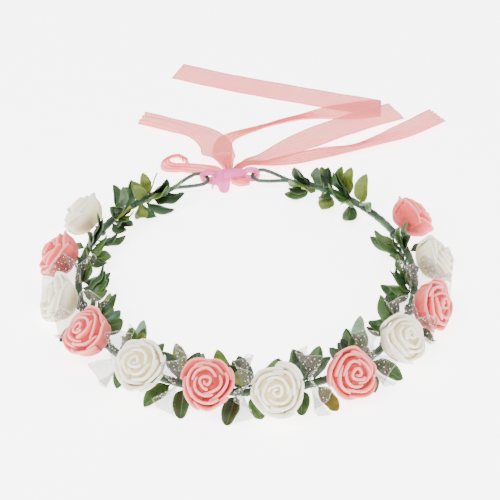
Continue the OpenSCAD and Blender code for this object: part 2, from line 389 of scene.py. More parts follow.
def tulle():
    """Sheer net: fine threads with clear gaps, a denser edge."""
    f = Finish("dotted tulle")
    up = f.places("net")[1]
    threads = f.noise(2600, detail=1).between(0.35, 0.75)
    patches = f.noise(130)
    colour = f.ramp(patches, [(0.3, "#3f3a34"), (0.5, "#5f5852"), (0.72, "#948b84")])
    edge = up.between(0.955, 0.99)
    solid = 0.12 + threads * 0.14 + patches * 0.2 + edge * 0.16
    return f.surface(
        Base_Color=f.mix(edge, colour, "#b9b1a8"), Roughness=0.5, Alpha=solid,
        Sheen_Weight=0.4, Normal=f.bump(threads, 0.3, 0.0002))


def white_dot():
    f = Finish("flocked dot")
    return f.surface(
        Base_Color=f.mix(f.noise(4000), "#f4f2ec", "#ffffff"),
        Roughness=0.7, Sheen_Weight=0.3)


def organza(name, thin, dense, cover):
    """Sheer ribbon: a fine plain weave with a denser woven edge."""
    f = Finish(name)
    along, across = f.places("ribbon")
    weave = (across * 190).sine() * (along * 3000).sine()
    streak = f.stretched_noise("ribbon", (14, 26), 2)
    edge = abs(across - 0.5).between(0.462, 0.482)
    colour = f.mix(f.noise(34, detail=2).between(0.3, 0.7), thin, dense)
    solid = cover + edge * 0.3 + (streak - 0.5) * 0.22 + weave * 0.05
    return f.surface(
        Base_Color=f.mix(edge * 0.5, colour, dense), Roughness=0.42, Alpha=solid,
        Sheen_Weight=0.5, Sheen_Roughness=0.35, Specular_IOR_Level=0.4,
        Normal=f.bump(weave * 0.5 + streak, 0.25, 0.0003))


def pale_floor():
    f = Finish("pale floor")
    return f.surface(
        Base_Color=f.mix(f.noise(8), "#fbfbfb", "#ffffff"), Roughness=0.8,
        Emission_Color="#ffffff", Emission_Strength=FLOOR_GLOW)


# ---- mesh helpers

def new_piece(name, vertices, faces, material, smooth=True):
    mesh = bpy.data.meshes.new(name)
    mesh.from_pydata([tuple(v) for v in vertices], [], [tuple(f) for f in faces])
    mesh.materials.append(material)
    mesh.polygons.foreach_set("use_smooth", [smooth] * len(mesh.polygons))
    return linked(name, mesh)


def grid_faces(rows, columns, start=0):
    """Quads of a grid of points, row after row."""
    faces = []
    for r in range(rows - 1):
        for c in range(columns - 1):
            a = start + r * columns + c
            faces.append((a, a + 1, a + columns + 1, a + columns))
    return faces


def spans(left, columns, rows):
    """From left to 1 across a grid's rows, and from 0 to 1 up its columns."""
    return np.linspace(left, 1, columns)[None, :], np.linspace(0, 1, rows)[:, None]


def grid_points(x, y, z):
    """Points of a grid, row after row, from coordinates that may vary only one way."""
    return np.stack(np.broadcast_arrays(x, y, z), axis=-1).reshape(-1, 3)


def grid_map(rows, columns, low=0, high=1):
    """Pairs of numbers over a grid: across each row, and up from row to row."""
    across, up = np.meshgrid(np.linspace(0, 1, columns), np.linspace(low, high, rows))
    return np.stack([across, up], axis=-1).reshape(-1, 2)


def set_map(piece, name, places):
    """Writes a UV map from one pair of numbers a vertex."""
    mesh = piece.data
    layer = mesh.uv_layers.new(name=name)
    corner_vertex = np.zeros(len(mesh.loops), int)
    mesh.loops.foreach_get("vertex_index", corner_vertex)
    layer.data.foreach_set("uv", np.asarray(places, float)[corner_vertex].ravel())


def settled(piece):
    """Replaces a piece's mesh with what its modifiers make of it."""
    graph = bpy.context.evaluated_depsgraph_get()
    mesh = bpy.data.meshes.new_from_object(piece.evaluated_get(graph), depsgraph=graph)
    mesh.name = piece.name
    piece.modifiers.clear()
    piece.data = mesh
    return piece


def thicken(piece, thickness, rounds=1):
    """Gives a sheet its thickness and a rounded edge."""
    solid = piece.modifiers.new("thickness", "SOLIDIFY")
    solid.thickness = thickness
    solid.offset = 0
    solid.use_rim = True
    if rounds:
        soft = piece.modifiers.new("rounding", "SUBSURF")
        soft.levels = soft.render_levels = rounds
    return settled(piece)


def held_up(piece):
    """Bends what would pass below the table along it."""
    for vertex in piece.data.vertices:
        vertex.co.z = max(vertex.co.z, TABLE + TABLE_CLEARANCE)
    return piece


def moved(points, place):
    """Points in metres carried to a place."""
    m = np.array(place)
    return np.asarray(points) @ m[:3, :3].T + m[:3, 3]


# ---- roses

# Each layer of petals: how many, radius at the belly, height of the rim, half width in degrees,
# how far the rim rolls outward, how far one edge stands out over the next petal, and how far
# the layer closes towards its rim
OUTER_LAYERS = [(5, 11.5, 14.4, 49, 1.5, 0.9, -0.02), (4, 9.3, 16.7, 61, 1.0, 0.9, 0.04)]
INNER_LAYERS = [(3, 6.3, 18.2, 78, 0.65, 1.0, 0.08)]
FOOT_RADIUS = 4.2  # of a petal at the widest layer, in millimetres
BELLY_RADIUS = 12.0  # of the widest layer
FOAM_THICKNESS = 1.4 * MM
PETAL_ROWS = 11
PETAL_COLUMNS = 17
WHOLE_TURN = 2 * PETAL_COLUMNS  # columns of a layer that goes all the way round
CORE_TURNS = 1.35
# The solid foam under the petals, as radius and height from its middle outward
ROSE_HEART = [(0.05, 16.0), (3.0, 15.6), (5.0, 15.0), (7.0, 13.9), (9.0, 12.4), (10.6, 10.4),
              (11.0, 7.5)]
# How far some heads nod from their stems, in degrees: along the ring and outward
ROSE_NOD = {2: (5, 4), 3: (9, -3), 5: (-3, 4), 6: (10, 9), 7: (-2, 2), 8: (-4, -5), 9: (8, 4),
            11: (-6, 6)}
# Heads with a petal that has opened, and its direction round the head in degrees
OPEN_PETALS = {2: -140, 4: 60, 6: 140, 9: 100, 10: -60}
OPEN_HALF_WIDTH = 40  # degrees
OPEN_REACH = 10.1  # how much farther out its rim stands than its foot, in millimetres


def petal_points(radius, top, half_width, roll_out, lap, closing, middle, corners, random):
    """One petal of a rose as a grid of points in millimetres, from its foot to its rim."""
    u, v = spans(-1, PETAL_COLUMNS, PETAL_ROWS)
    lean = random.uniform(-0.25, 0.25)
    crest = top * (1 - 0.16 * np.abs(u + lean) ** 2.6) + 0.35 * np.sin(2.6 * u + random.uniform(0, 6))
    z = 0.4 + (crest - 0.4) * v
    foot = FOOT_RADIUS * radius / BELLY_RADIUS
    belly = np.sin(np.pi / 2 * np.minimum(1, z / (top * 0.62))) ** 0.75
    r = (foot + (radius - foot) * belly) * (1 - closing * smoothstep(0.6, 1.0, v))
    curl = smoothstep(0.74, 1.0, v) ** 1.6
    r = r + roll_out * curl * (0.55 + 0.45 * np.cos((u + lean) * np.pi / 2))
    z = z - 0.55 * roll_out * curl * smoothstep(0.9, 1.0, v)
    r = r + lap * u * smoothstep(0.0, 0.6, v)
    pinch = random.uniform(0.3, 1.0) * radius / BELLY_RADIUS
    r = r + pinch * np.exp(-((u - lean) / 0.25) ** 2) * smoothstep(0.65, 1.0, v)
    r = r + 0.22 * np.sin(4.5 * u + random.uniform(0, 6)) * v
    angle = middle + u * math.radians(half_width) * (0.84 + 0.16 * v)
    r = r * (1 + 0.055 * np.cos(3 * (angle - corners)) * smoothstep(0.3, 1.0, v))
    return grid_points(r * np.cos(angle), r * np.sin(angle), z)


def open_petal(middle, random):
    """A broad outer petal that has opened away from the head."""
    u, v = spans(-1, PETAL_COLUMNS, PETAL_ROWS)
    r = 5 + OPEN_REACH * v ** 0.8 + 0.4 * np.sin(3 * u + random.uniform(0, 6)) * v
    z = 1.5 + 13.5 * v ** 1.35 * (1 - 0.2 * np.abs(u) ** 2.4) - 1.6 * smoothstep(0.8, 1.0, v)
    angle = middle + u * math.radians(OPEN_HALF_WIDTH) * (0.75 + 0.25 * np.sin(np.pi * v))
    return grid_points(r * np.cos(angle), r * np.sin(angle), z)


def rolled_core(random):
    """The tight roll of foam at a rose's middle."""
    t, v = spans(0, WHOLE_TURN, PETAL_ROWS)
    start = random.uniform(0, 6)
    angle = start + t * CORE_TURNS * 2 * np.pi
    r = 0.9 + 2.9 * t + 0.4 * np.cos(3 * (angle - start)) * t
    z = 9 + (9.5 + 0.4 * np.sin(angle)) * v - 0.9 * (1 - t) * v
    r = r * (0.85 + 0.15 * v)
    return grid_points(r * np.cos(angle), r * np.sin(angle), z)


def heart_points():
    """The foam under the petals: a low dome that closes the gaps between them."""
    r, z = np.array(ROSE_HEART).T[:, :, None]
    angle = np.linspace(0, 2 * np.pi, WHOLE_TURN)[None, :]
    return grid_points(r * np.cos(angle), r * np.sin(angle), z)


def make_petals(name, index, layers, core, finish, random):
    """The petals of some layers round a rolled core, or round the heart and with an open petal."""
    grids = []
    heading = random.uniform(0, 2 * np.pi)
    corners = random.uniform(0, 2 * np.pi)
    for number, radius, top, half_width, roll_out, lap, closing in layers:
        for k in range(number):
            middle = heading + 2 * np.pi * (k + random.uniform(-0.13, 0.13)) / number
            petal = petal_points(
                radius * random.uniform(0.96, 1.04), top * random.uniform(0.96, 1.02),
                half_width * random.uniform(0.94, 1.06), roll_out * random.uniform(0.6, 1.4),
                lap, closing, middle, corners, random)
            grids.append((petal, PETAL_COLUMNS, 1))
        heading += 2 * np.pi / number * 0.5 + random.uniform(-0.3, 0.3)
    if core:
        grids.append((rolled_core(random), WHOLE_TURN, 1))
    else:
        if index in OPEN_PETALS:
            grids.append((open_petal(math.radians(OPEN_PETALS[index]), random), PETAL_COLUMNS, 1))
        # The heart's map stops at 0.2, so all of it takes the painted fold shade of its foam
        grids.append((heart_points(), WHOLE_TURN, 0.2))
    faces, places, count = [], [], 0
    for grid, columns, map_top in grids:
        rows = len(grid) // columns
        faces += grid_faces(rows, columns, count)
        places.append(grid_map(rows, columns, 0, map_top))
        count += len(grid)
    flat = np.concatenate([grid for grid, columns, map_top in grids]) * MM
    sideways, outward = ROSE_NOD.get(index, (0, 0))
    place = at_rose(index) @ turn(sideways, "X") @ turn(outward, "Y")
    piece = new_piece(name, moved(flat, place), faces, finish)
    set_map(piece, "petal", np.concatenate(places))
    return thicken(piece, FOAM_THICKNESS)


def make_rose(index, finish):
    random = np.random.default_rng(100 + index)
    number = f"{index + 1:02d}"
    cup = make_petals(f"rose_{number}_outer_petals", index, OUTER_LAYERS, False, finish, random)
    roll = make_petals(f"rose_{number}_rolled_bud", index, INNER_LAYERS, True, finish, random)
    for piece, node in ((cup, f"rose_{number}_petals"), (roll, f"rose_{number}_bud")):
        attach(piece, "crown")
        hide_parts(node)


# ---- geometry trees

class Shape(Nodes):
    """A Geometry Nodes tree with named inputs, run on one object and turned into a plain mesh."""

    def __init__(self, name, inputs):
        self.group = bpy.data.node_groups.new(name, "GeometryNodeTree")
        super().__init__(self.group)
        interface = self.group.interface
        interface.new_socket("Geometry", in_out="INPUT", socket_type="NodeSocketGeometry")
        for label, (kind, value) in inputs.items():
            socket = interface.new_socket(label, in_out="INPUT", socket_type=kind)
            if value is not None:
                socket.default_value = value
        interface.new_socket("Geometry", in_out="OUTPUT", socket_type="NodeSocketGeometry")
        self.entry = self.tree.nodes.new("NodeGroupInput")

    def given(self, label):
        return Signal(self, self.entry.outputs[label])

    def attribute(self, name, kind):
        return self.node("GeometryNodeInputNamedAttribute", {"data_type": kind}, {"Name": name})

    def keep(self, geometry, value):
        """Stores a value on a geometry's points, and gives both back."""
        made = self.tree.nodes.new("GeometryNodeCaptureAttribute")
        made.capture_items.new("FLOAT", "kept")
        self.tree.links.new(geometry.socket, made.inputs[0])
        self.tree.links.new(value.socket, made.inputs[1])
        return Signal(self, made.outputs[0]), Signal(self, made.outputs[1])

    def map_corners(self, geometry, name, value):
        return self.node("GeometryNodeStoreNamedAttribute", {"data_type": "FLOAT2", "domain": "CORNER"},
                         {"Geometry": geometry, "Name": name, "Value": value})

    def one_leaf(self, curl, fold, wave):
        """A leaf of length and width 1 along +X: a stalk, a pointed blade, a fold along its rib."""
        grid = self.node("GeometryNodeMeshGrid", None,
                         {"Size X": 1, "Size Y": 1, "Vertices X": 15, "Vertices Y": 7})
        place = self.node("ShaderNodeSeparateXYZ", None, {0: self.node("GeometryNodeInputPosition")})
        along = place + 0.5
        across = place.other(1)
        blade = along.math("MAXIMUM", along - STALK_SHARE, 0.0) / (1 - STALK_SHARE)
        bulge = (blade ** 0.85 * math.pi).sine()
        width = bulge.math("MAXIMUM", bulge, 0.0) ** 0.54
        width = width.math("MAXIMUM", width, 0.045)
        height = abs(across) * width * fold - along * along * curl
        height = height + (along * 11).sine() * width * wave
        point = self.node("ShaderNodeCombineXYZ", None, {0: along, 1: across * width, 2: height})
        shaped = self.node("GeometryNodeSetPosition", None, {"Geometry": grid, "Position": point})
        mapped = self.map_corners(shaped, "leaf", grid.other("UV Map"))
        return self.node("GeometryNodeSetShadeSmooth", None, {"Geometry": mapped})

    def finish_with(self, geometry, material):
        whole = self.node("GeometryNodeRealizeInstances", None, {"Geometry": geometry})
        painted = self.node("GeometryNodeSetMaterial", None, {"Geometry": whole, "Material": material})
        self.node("NodeGroupOutput", None, {"Geometry": painted})

    def run(self, piece, values):
        """Applies the tree to a piece with its inputs set by their identifiers."""
        modifier = piece.modifiers.new("shape", "NODES")
        identifiers = {s.name: s.identifier for s in self.group.interface.items_tree
                       if s.item_type == "SOCKET" and s.in_out == "INPUT"}
        for label, value in values.items():
            modifier[identifiers[label]] = value
        modifier.node_group = self.group
        return settled(piece)


def tube_shape():
    """A round wire, stem or tape wrap that follows a line, with a ridge that winds round it."""
    s = Shape("wound tube", {
        "Radius": ("NodeSocketFloat", WIRE_DIAMETER / 2), "Sides": ("NodeSocketInt", 14),
        "Ridge pitch": ("NodeSocketFloat", 1.0), "Ridge depth": ("NodeSocketFloat", 0.0),
        "Crumple": ("NodeSocketFloat", 0.0), "Finish": ("NodeSocketMaterial", None)})
    line = s.node("GeometryNodeMeshToCurve", None, {"Mesh": s.given("Geometry")})
    line, along = s.keep(line, s.node("GeometryNodeSplineParameter", output=1))
    section = s.node("GeometryNodeCurvePrimitiveCircle", None,
                     {"Resolution": s.given("Sides"), "Radius": s.given("Radius")})
    section, around = s.keep(section, s.node("GeometryNodeSplineParameter", output=0))
    tube = s.node("GeometryNodeCurveToMesh", None,
                  {"Curve": line, "Profile Curve": section, "Fill Caps": True})
    wound = (along / s.given("Ridge pitch") + around).fraction()
    rough = s.node("ShaderNodeTexNoise", None, {"Scale": 420.0, "Detail": 2.0})
    lift = wound * s.given("Ridge depth") + (rough - 0.5) * s.given("Crumple")
    offset = s.node("ShaderNodeVectorMath", {"operation": "SCALE"},
                    {0: s.node("GeometryNodeInputNormal"), "Scale": lift})
    tube = s.node("GeometryNodeSetPosition", None, {"Geometry": tube, "Offset": offset})
    tube = s.map_corners(tube, "wrap", s.node("ShaderNodeCombineXYZ", None, {0: along * 6, 1: wound}))
    smooth = s.node("GeometryNodeSetShadeSmooth", None, {"Geometry": tube})
    s.finish_with(smooth, s.given("Finish"))
    return s


def leaf_shape():
    """Leaves on the points of a sprig, each with its own turn, size, tone and kind of curl."""
    s = Shape("leaf sprig", {"Finish": ("NodeSocketMaterial", None)})
    kinds = [s.one_leaf(curl, fold, wave) for curl, fold, wave in
             ((0.10, 0.28, 0.02), (0.24, 0.16, 0.05), (-0.06, 0.42, 0.035))]
    choice = s.tree.nodes.new("GeometryNodeGeometryToInstance")
    for leaf in reversed(kinds):
        s.tree.links.new(leaf.socket, choice.inputs[0])
    sprig = s.node("GeometryNodeInstanceOnPoints", None, {
        "Points": s.given("Geometry"), "Instance": Signal(s, choice.outputs[0]),
        "Pick Instance": True, "Instance Index": s.attribute("kind", "INT"),
        "Rotation": s.attribute("heading", "FLOAT_VECTOR"),
        "Scale": s.attribute("size", "FLOAT_VECTOR")})
    s.finish_with(sprig, s.given("Finish"))
    return s


def dot_shape():
    """Small round dots scattered evenly over a sheet."""
    s = Shape("scattered dots", {
        "Spacing": ("NodeSocketFloat", 2.6 * MM), "Dot radius": ("NodeSocketFloat", 0.42 * MM),
        "Seed": ("NodeSocketInt", 0), "Finish": ("NodeSocketMaterial", None)})
    scatter = s.node("GeometryNodeDistributePointsOnFaces", {"distribute_method": "POISSON"}, {
        "Mesh": s.given("Geometry"), "Distance Min": s.given("Spacing"), "Density Max": 300000,
        "Seed": s.given("Seed")})
    dot = s.node("GeometryNodeMeshCylinder", None,
                 {"Vertices": 8, "Radius": s.given("Dot radius"), "Depth": 0.3 * MM})
    dots = s.node("GeometryNodeInstanceOnPoints", None,
                  {"Points": scatter, "Instance": dot, "Rotation": scatter.other("Rotation")})
    s.finish_with(dots, s.given("Finish"))
    return s


# ---- wire, tape and leaves

EYE_SPREAD = 0.94  # how far the eye's strands part before its round tip
BARE_END = 3  # degrees of ring at each end without tape
WRAP_PITCH = 6 * MM
RING_STEPS = 260
TAPE_STEPS = 1500
BINDING_TURNS = 4
BINDING_LENGTH = 2.6 * MM
BINDING_RADIUS = 0.52 * MM  # of the thread that is wound


def line_piece(name, points):
    """A bare line of edges that a tree can follow."""
    mesh = bpy.data.meshes.new(name)
    mesh.from_pydata([tuple(p) for p in points], [(k, k + 1) for k in range(len(points) - 1)], [])
    return linked(name, mesh)


def eye_line(side):
    """The wire's way out along one strand of an eye, round its tip and back."""
    bend = EYE_LENGTH - EYE_HALF
    out = [(t * bend, EYE_HALF * smoothstep(0, 1, t) * EYE_SPREAD, 0)
           for t in np.linspace(0, 1, 14)[:-1]]
    tip = [(bend + EYE_HALF * math.cos(a), EYE_HALF * math.sin(a), 0)
           for a in np.linspace(math.pi / 2, -math.pi / 2, 22)]
    back = [(x, -y, 0) for x, y, z in reversed(out)]
    return moved(out + tip + back, at_eye(side))


def ring_line(start, sweep, steps):
    angles = np.radians(start + np.linspace(0, sweep, steps))
    return grid_points(RING_RADIUS * np.cos(angles), RING_RADIUS * np.sin(angles), 0)


def make_wire(tube, finish):
    ring = ring_line(RING_START, RING_SWEEP, RING_STEPS)
    line = np.concatenate([eye_line(1)[:-1], ring, eye_line(-1)[1:]])
    wire = tube.run(line_piece("ring_wire", line), {
        "Radius": WIRE_DIAMETER / 2, "Sides": 14, "Crumple": 0.06 * MM, "Finish": finish})
    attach(wire, "crown")
    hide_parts("base_wire")


def make_tape(tube, finish):
    line = ring_line(RING_START + BARE_END, RING_SWEEP - 2 * BARE_END, TAPE_STEPS)
    tape = tube.run(line_piece("tape_wrap", line), {
        "Radius": TAPE_DIAMETER / 2 - 0.2 * MM, "Sides": 18, "Ridge pitch": WRAP_PITCH,
        "Ridge depth": 0.32 * MM, "Crumple": 0.35 * MM, "Finish": finish})
    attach(tape, "crown")
    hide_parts("floral_tape")


def make_bindings(tube, finish):
    for side, label in ((1, "left"), (-1, "right")):
        place = at_ring(TIE_ANGLE + side * GAP_HALF) @ turn(90 if side > 0 else -90, "X")
        t = np.linspace(0, 1, 90)
        wind = 2 * np.pi * BINDING_TURNS * t
        radius = (WIRE_DIAMETER / 2 + 0.5 * MM) * (1 + 0.12 * np.sin(np.pi * t))
        line = grid_points(radius * np.cos(wind), radius * np.sin(wind), -BINDING_LENGTH * t)
        binding = tube.run(line_piece(f"{label}_eye_binding", moved(line, place)), {
            "Radius": BINDING_RADIUS, "Sides": 10, "Crumple": 0.1 * MM, "Finish": finish})
        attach(binding, "crown")
    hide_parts("eye_bindings")


# Leaves between two roses: place along the ring, side, lean, share of the length, tone, kind
GAP_LEAVES = [
    [(3, 150, 20, 0.7, 0.55, 0), (-3, 172, -30, 0.8, 0.1, 1), (2, 104, 14, 0.8, 0.3, 0),
     (0, -8, 0, 0.9, 0.4, 1)],
    [(3, 158, 26, 1.05, 0.4, 1), (-3, 178, -16, 0.9, 0.15, 0), (0, 112, -12, 0.8, 0.8, 2),
     (0, -8, 2, 1, 0.7, 0)],
    [(3, 150, 18, 0.9, 0.85, 0), (-3, 172, -26, 0.8, 0.1, 1), (0, 112, 8, 0.8, 0.5, 0),
     (0, -8, -4, 0.9, 0.2, 1)],
    [(-1.5, 150, -2, 1.1, 1.0, 1), (4.5, 158, 26, 0.8, 0.3, 0), (-5, 176, -34, 0.8, 0.15, 2),
     (3, -12, 22, 0.8, 0.35, 0)],
    [(-1, 142, -20, 1, 0.7, 0), (5, 166, 20, 0.8, 0.05, 1), (-4, -17, -22, 1, 0.45, 2),
     (3.5, -16.5, 14, 1, 0.3, 0)],
    [(-7, 150, -26, 1.1, 0.65, 1), (5, 144, -36, 0.95, 0.35, 0), (-1.5, 172, 8, 0.7, 0.1, 2),
     (-3.5, -16.5, -14, 1, 0.25, 0), (4, -20, 20, 0.8, 0.4, 1)],
    [(-4, 146, 34, 0.85, 0.3, 0), (3.5, 144, 30, 1, 0.45, 2), (-7, 158, -24, 0.8, 0.15, 1),
     (-4, -20, -20, 0.8, 0.3, 0), (4, -16.5, 16, 1, 0.7, 1)],
    [(-4, 150, 14, 0.9, 0.45, 0), (2, 144, 24, 1.15, 0.95, 1), (-1, 170, -10, 0.8, 0.1, 0),
     (-3.5, -18, -16, 0.9, 0.9, 2), (4, -15.5, 16, 1.05, 0.35, 0)],
    [(-2, 148, 24, 1, 0.4, 0), (4, 164, 34, 0.9, 0.3, 1), (-4, 176, -30, 0.8, 0.1, 0),
     (0, -8, 0, 0.95, 0.1, 2)],
    [(-3, 170, -40, 0.9, 0.25, 0), (3, 150, 44, 1, 0.4, 1), (0, 112, 0, 0.7, 0.5, 0),
     (0, -8, 0, 0.9, 0.15, 1)],
    [(-3, 160, -42, 1, 0.35, 1), (3, 178, 40, 1.05, 0.3, 0), (0, 110, 10, 0.8, 0.5, 0),
     (0, -8, 0, 0.7, 0.2, 2)],
]
# Sprigs on the bare arms: direction of the sprig round the ring, and its leaves
ARM_LEAVES = {
    "left_arm": (RING_START + 24, [
        (4, 112, -16, 1.1, 0.4, 1), (-1, 76, -12, 0.9, 0.3, 0), (8, 176, 20, 0.7, 0.2, 0)]),
    "left_eye": (RING_START + 10, [
        (0, 92, 0, 0.8, 0.7, 1), (-4, 140, -50, 1.15, 0.4, 0), (-3, 178, -48, 1.1, 0.1, 1),
        (2, 196, -34, 1, 0.2, 0), (5, 178, 6, 0.85, 0.3, 2), (6, 60, 30, 0.6, 0.5, 0)]),
    "right_eye": (RING_START + RING_SWEEP - 10, [
        (-6, 90, 0, 0.85, 0.15, 2), (5, 186, 40, 0.95, 0.35, 0), (2, 162, 8, 0.8, 0.7, 1),
        (-3, 190, -42, 1.1, 0.7, 1), (-7, 166, -10, 0.7, 0.4, 0)]),
    "right_arm": (RING_START + RING_SWEEP - 25, [
        (5, 92, 0, 1, 0.7, 1), (-6, 90, -4, 1.15, 0.65, 0), (-2, 150, 34, 0.8, 0.3, 0),
        (-9, 110, -40, 0.8, 0.4, 2), (0, 184, -34, 1, 0.35, 0)]),
}
# Bare twig ends: place along the ring and length in millimetres, lean between them in degrees
TWIGS = {"left_eye": (-2.5, -32, 14), "right_eye": (2, -36, 13)}
TWIG_RADIUS = 0.42 * MM
LEAF_THICKNESS = 0.4 * MM


def filler(random, number, spread, low, high):
    """More leaves that fill a sprig out, between two directions round the wire."""
    return [(random.uniform(-spread, spread), random.uniform(low, high), random.uniform(-42, 42),
             random.uniform(0.75, 1.08), random.uniform(0.0, 0.75), k % 3) for k in range(number)]


def make_sprig(name, angle, rows, leaf, finish):
    """One sprig: its points carry each leaf's turn, size, tone and kind."""
    random = np.random.default_rng(len(name) + int(angle))
    if name[-1].isdigit():
        rows = rows + filler(random, 4, 8, 136, 180) + filler(random, 2, 3, 95, 125)
    else:
        rows = rows + filler(random, 6, 9, 70, 184)
    points, headings, sizes, tones, kinds = [], [], [], [], []
    for along, side, lean, share, tone, kind in rows:
        place = from_tape(angle, along, side, lean, random.uniform(-14, 14))
        points.append(tuple(place.translation))
        headings.append(tuple(place.to_euler()))
        length = LEAF_LENGTH * share + LEAF_STALK
        sizes.append((length, LEAF_WIDTH * (0.45 + 0.55 * share), length))
        tones.append(float(np.clip(tone + random.uniform(-0.05, 0.05), 0, 1)))
        kinds.append(kind)
    mesh = bpy.data.meshes.new(name)
    mesh.from_pydata(points, [], [])
    for label, kind, field, values in (
            ("heading", "FLOAT_VECTOR", "vector", headings), ("size", "FLOAT_VECTOR", "vector", sizes),
            ("tone", "FLOAT", "value", tones), ("kind", "INT", "value", kinds)):
        layer = mesh.attributes.new(label, kind, "POINT")
        layer.data.foreach_set(field, np.asarray(values).ravel())
    sprig = held_up(leaf.run(linked(name, mesh), {"Finish": finish}))
    sprig = thicken(sprig, LEAF_THICKNESS)
    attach(sprig, "crown")
    return sprig


def make_leaves(leaf, tube, finish, twig_finish):
    for k, rows in enumerate(GAP_LEAVES):
        sprig = make_sprig(f"leaves_{k + 1:02d}", gap_angle(k), rows, leaf, finish)
        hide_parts(f"leaf_sprig_{k + 1:02d}")
    for name, (angle, rows) in ARM_LEAVES.items():
        sprig = make_sprig(f"leaves_{name}", angle, rows, leaf, finish)
        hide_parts(f"leaf_sprig_{name}")
        if name in TWIGS:
            along, lean, length = TWIGS[name]
            place = from_tape(angle, along, 90, lean)
            t = np.linspace(0, 1, 16)
            bow = grid_points(t * length * MM, 0.9 * MM * np.sin(2.4 * t), 0.5 * MM * np.sin(5 * t))
            twig = tube.run(line_piece(f"twig_{name}", moved(bow, place)), {
                "Radius": TWIG_RADIUS, "Sides": 8, "Crumple": 0.25 * MM, "Finish": twig_finish})
            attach(twig, "crown")


# ---- tulle

RUFFLE_REACH = 21 * MM  # from the wire to a ruffle's free edge
RUFFLE_ROOT = 3 * MM  # from the wire to the gathered edge
RUFFLE_ROWS = 16
RUFFLE_COLUMNS = 61
RUFFLE_PLAIN_ROWS = 6  # rows of points, from the tape outward, that bear no dots
NET_THICKNESS = 0.15 * MM


def make_ruffle(number, dots, net_finish, dot_finish):
    """A fan of net gathered on the tape, waved across the gap between two roses."""
    random = np.random.default_rng(40 + number)
    u, v = spans(-1, RUFFLE_COLUMNS, RUFFLE_ROWS)
    side = np.radians(50 + random.uniform(-6, 6) + 72 * u)
    scallop = 1 - 0.10 * u ** 2 + 0.03 * np.sin(7 * u + number)
    reach = RUFFLE_ROOT + (RUFFLE_REACH - RUFFLE_ROOT) * v * scallop
    wave = 5.2 * MM * v ** 1.2 * np.sin(2 * np.pi * (1.4 * u + random.uniform(0, 1)))
    wave = wave + 0.9 * MM * v * np.sin(2 * np.pi * (4.3 * u + random.uniform(0, 1)))
    points = grid_points(reach * np.cos(side), wave, reach * np.sin(side))
    ruffle = new_piece(f"tulle_{number:02d}", moved(points, at_ring(gap_angle(number - 1))),
                       grid_faces(RUFFLE_ROWS, RUFFLE_COLUMNS), net_finish)
    held_up(ruffle)
    set_map(ruffle, "net", grid_map(RUFFLE_ROWS, RUFFLE_COLUMNS))
    dotted = [vertex.co.copy() for vertex in ruffle.data.vertices][RUFFLE_PLAIN_ROWS * RUFFLE_COLUMNS:]
    spots = new_piece(f"tulle_{number:02d}_dots", dotted,
                      grid_faces(RUFFLE_ROWS - RUFFLE_PLAIN_ROWS, RUFFLE_COLUMNS), dot_finish)
    spots = dots.run(spots, {"Spacing": 2.4 * MM, "Dot radius": 0.29 * MM, "Seed": number,
                             "Finish": dot_finish})
    ruffle = thicken(ruffle, NET_THICKNESS, rounds=0)
    for piece in (ruffle, spots):
        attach(piece, "crown")
    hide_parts(f"tulle_ruffle_{number:02d}")


# ---- ribbon

# Ribbon ends in the tie's frame: along the tie, away from the crown, share of the width
SHORT_END = [(-1, 6, 0.3), (-5, 22, 0.95), (-7, 40, 1), (-22, 56, 0.75), (-50, 72, 0.65)]
LONG_TAIL_OUT = [(0, 6, 0.25), (-1, 26, 0.7), (2, 46, 0.5), (24, 57, 0.2), (52, 66, 0.3),
                 (80, 70, 0.9), (104, 72, 1)]
LONG_TAIL_BACK = [(106, 70, 1), (62, 89, 1), (12, 112, 1), (-23, 131, 1)]
WIDE_TAIL = [(6, 6, 0.18), (21, 16.5, 0.55), (54, 38, 1), (85, 53, 1), (115, 64, 1)]
RIGHT_TAIL = [(6, 8, 0.15), (20, 11, 0.3), (42, 15, 0.6), (62, 19, 0.5), (84, 24, 0.3),
              (112, 37, 0.75), (140, 53, 0.8)]
# The laid ends: piece, body, route, layer, arch near the knot, pleats, waves, piece below, seed
RIBBON_ENDS = [
    ("ribbon_wide_end", "wide_tail", WIDE_TAIL, 2.7, 3 * MM, 4, 0.5 * MM, "ribbon_long_end", 31),
    ("ribbon_right_end", "right_tail", RIGHT_TAIL, 4.4, 2 * MM, 5, 1.4 * MM, "ribbon_wide_end", 32),
    ("ribbon_left_end", "short_end", SHORT_END, 3.7, 6 * MM, 3, 1.5 * MM, "ribbon_long_end", 33)]
# Short pieces at the knot, in the same frame
FLAP = [(-4.5, -1, 0.4), (-6, -6, 0.56), (-7, -12.5, 0.5)]
SIDE_FOLD = [(1, -3.6, 0.3), (6, -5, 0.4), (11.5, -6.2, 0.16)]
SMALL_LOOP_ROOT = [(-5.5, 3.5, 0.2), (-10, 8.5, 0.4), (-20, 13.5, 0.55), (-27, 15.6, 0.45)]
RIBBON_THICKNESS = 0.18 * MM
LYING = -5.6 * MM  # middle of the lowest length of ribbon
LAYER = 0.9 * MM
ACROSS = 33  # points across a ribbon
KNOT_HALF = 9.4 * MM
KNOT_TURNS = 2.1
KNOT_STEPS = 170  # points along the wound ribbon
KNOT_ACROSS = 41
TURN_RADIUS = 3.1 * MM  # of the ribbon's turn through an eye
TURN_SECTION = 1.0 * MM
TURN_STEPS = 60
TURN_SIDES = 28
FOLD_BLEND = 6  # points on each side of the long tail's fold that turn with it


def on_route(route, steps=12):
    """Points of the smooth curve through a route, with their shares of the width."""
    p = np.asarray(route, float)
    p = np.vstack([p[:1], p, p[-1:]])
    parts = []
    for k in range(1, len(p) - 2):
        a, b, c, d = p[k - 1:k + 3]
        t = np.linspace(0, 1, steps, endpoint=False)[:, None]
        parts.append(0.5 * (2 * b + (c - a) * t + (2 * a - 5 * b + 4 * c - d) * t ** 2
                            + (3 * b - a - 3 * c + d) * t ** 3))
    return np.vstack(parts + [p[-1:]])


